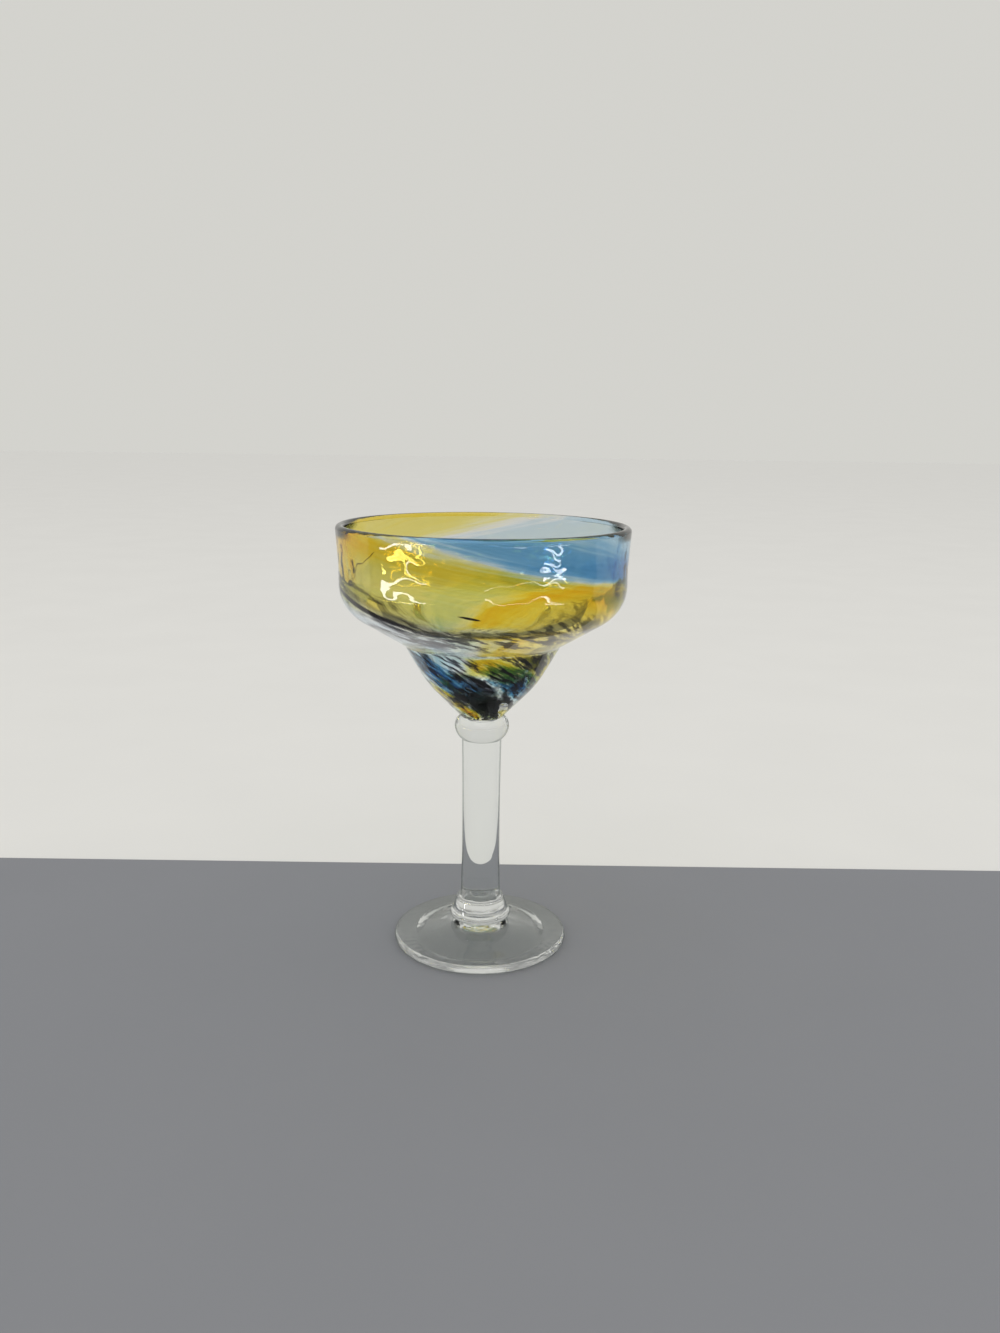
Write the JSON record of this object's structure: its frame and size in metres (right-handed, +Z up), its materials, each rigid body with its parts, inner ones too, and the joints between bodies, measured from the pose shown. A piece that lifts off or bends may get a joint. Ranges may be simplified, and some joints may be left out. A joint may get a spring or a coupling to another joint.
{
  "type": "margarita glass",
  "caption": "Hand-blown margarita glass: a wide cased bowl with wound amber and blue glass over a cone, on a clear knop, stem, collar and domed foot.",
  "frame": {"origin": "bottom centre of the foot, on the table", "axes": "+Z up along the axis of the stem and the bowl; -Y is the side that the picture shows"},
  "size_m": [0.116, 0.116, 0.1748],
  "materials": {
    "clear_foot_glass": "clear, fire-polished",
    "clear_collar_glass": "clear, fire-polished",
    "clear_stem_glass": "clear, fire-polished",
    "clear_knop_glass": "clear, fire-polished",
    "clear_casing_glass": "clear, fire-polished",
    "amber_glass": "amber, see-through, fused inside the wall",
    "blue_glass": "blue, see-through, fused inside the wall",
    "clear_lining_glass": "clear, fire-polished"
  },
  "bodies": {
    "root": {"foot": "clear_foot_glass", "foot_collar": "clear_collar_glass", "stem": "clear_stem_glass", "knop": "clear_knop_glass", "bowl_casing": "clear_casing_glass", "amber_swirl": "amber_glass", "blue_swirl": "blue_glass", "bowl_lining": "clear_lining_glass"}
  },
  "joints": []
}
